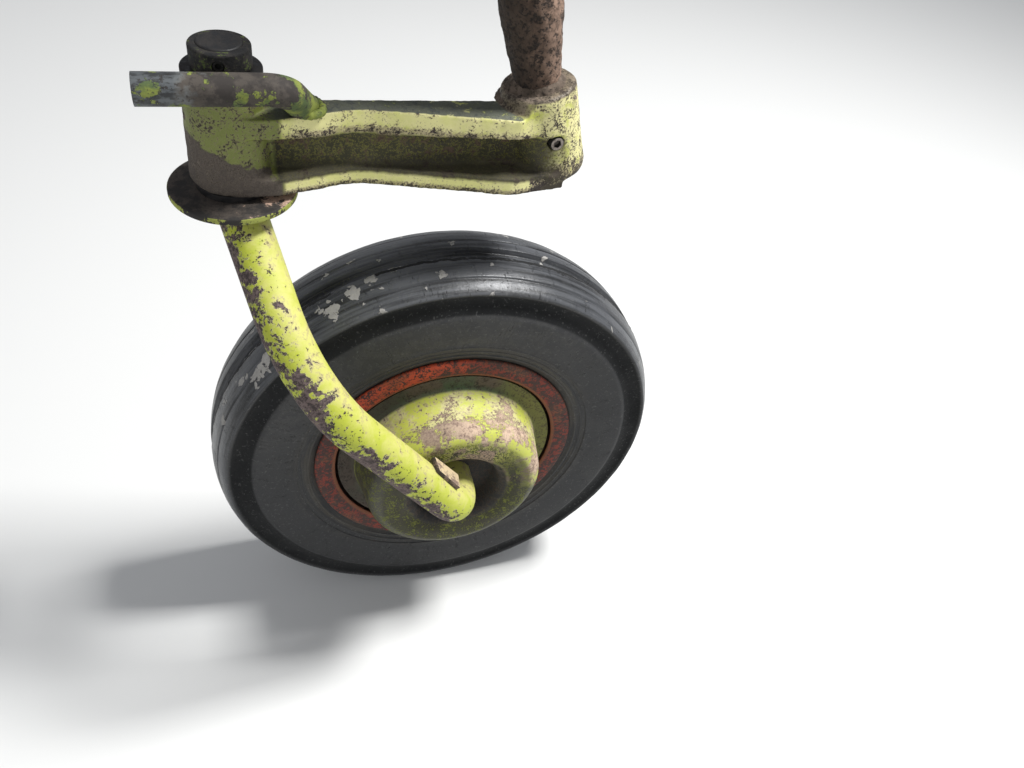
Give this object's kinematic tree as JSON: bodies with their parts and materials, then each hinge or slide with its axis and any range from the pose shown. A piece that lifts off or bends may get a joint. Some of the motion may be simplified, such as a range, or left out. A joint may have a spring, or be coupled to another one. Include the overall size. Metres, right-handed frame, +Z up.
{
  "type": "castor wheel unit of a hay tedder",
  "caption": "Farm machine castor wheel: rubber tyre on a shielded rim, bent round leg, swivel flange, cast carrier arm and leaning column.",
  "frame": {"origin": "centre of the column's upper end, by which the unit hangs on the machine", "axes": "+Z up with the swivel upright, +X along the carrier arm from the swivel to the column, -Y the side on which the leg passes the wheel"},
  "size_m": [0.3932, 0.169, 0.7464],
  "materials": {
    "arm_paint": "worn lime green paint over rusty cast iron",
    "leg_paint": "lime green paint, chipped to rust",
    "shield_paint": "faded green paint, worn on the lip",
    "rim_paint": "orange red paint, speckled with rust",
    "column_rust": "pitted rust and dried mud",
    "bar_steel": "bare worn end, old paint and dirt",
    "dark_steel": "black greasy dirt",
    "tyre": "weathered black rubber",
    "rubber": "matt",
    "cap_plastic": "matt"
  },
  "bodies": {
    "arm": {"carrier_arm": "arm_paint", "rotor_column": "column_rust", "column_set_screw": "dark_steel", "bent_bar": "bar_steel", "top_washer": "dark_steel"},
    "leg": {"castor_leg": "leg_paint", "swivel_flange": "shield_paint", "swivel_spindle": "dark_steel", "thrust_washer": "dark_steel", "stop_collar": "dark_steel", "collar_screw": "dark_steel", "keeper_plate": "column_rust", "wheel_shield": "shield_paint"},
    "wheel": {"tyre": "tyre", "rim": "rim_paint", "wheel_disc": "rim_paint", "hub": "rim_paint", "hub_seal": "rubber", "hub_cap": "rim_paint", "valve_stem": "rubber", "valve_cap": "cap_plastic"}
  },
  "joints": [
    {"name": "swivel", "type": "hinge", "parent": "arm", "child": "leg", "pos_m": [-0.13584, 0, -0.29392], "axis": [0, 0, 1], "continuous": true},
    {"name": "wheel_spin", "type": "hinge", "parent": "leg", "child": "wheel", "pos_m": [0.01836, 0, -0.54842], "axis": [0, 1, 0], "continuous": true}
  ]
}
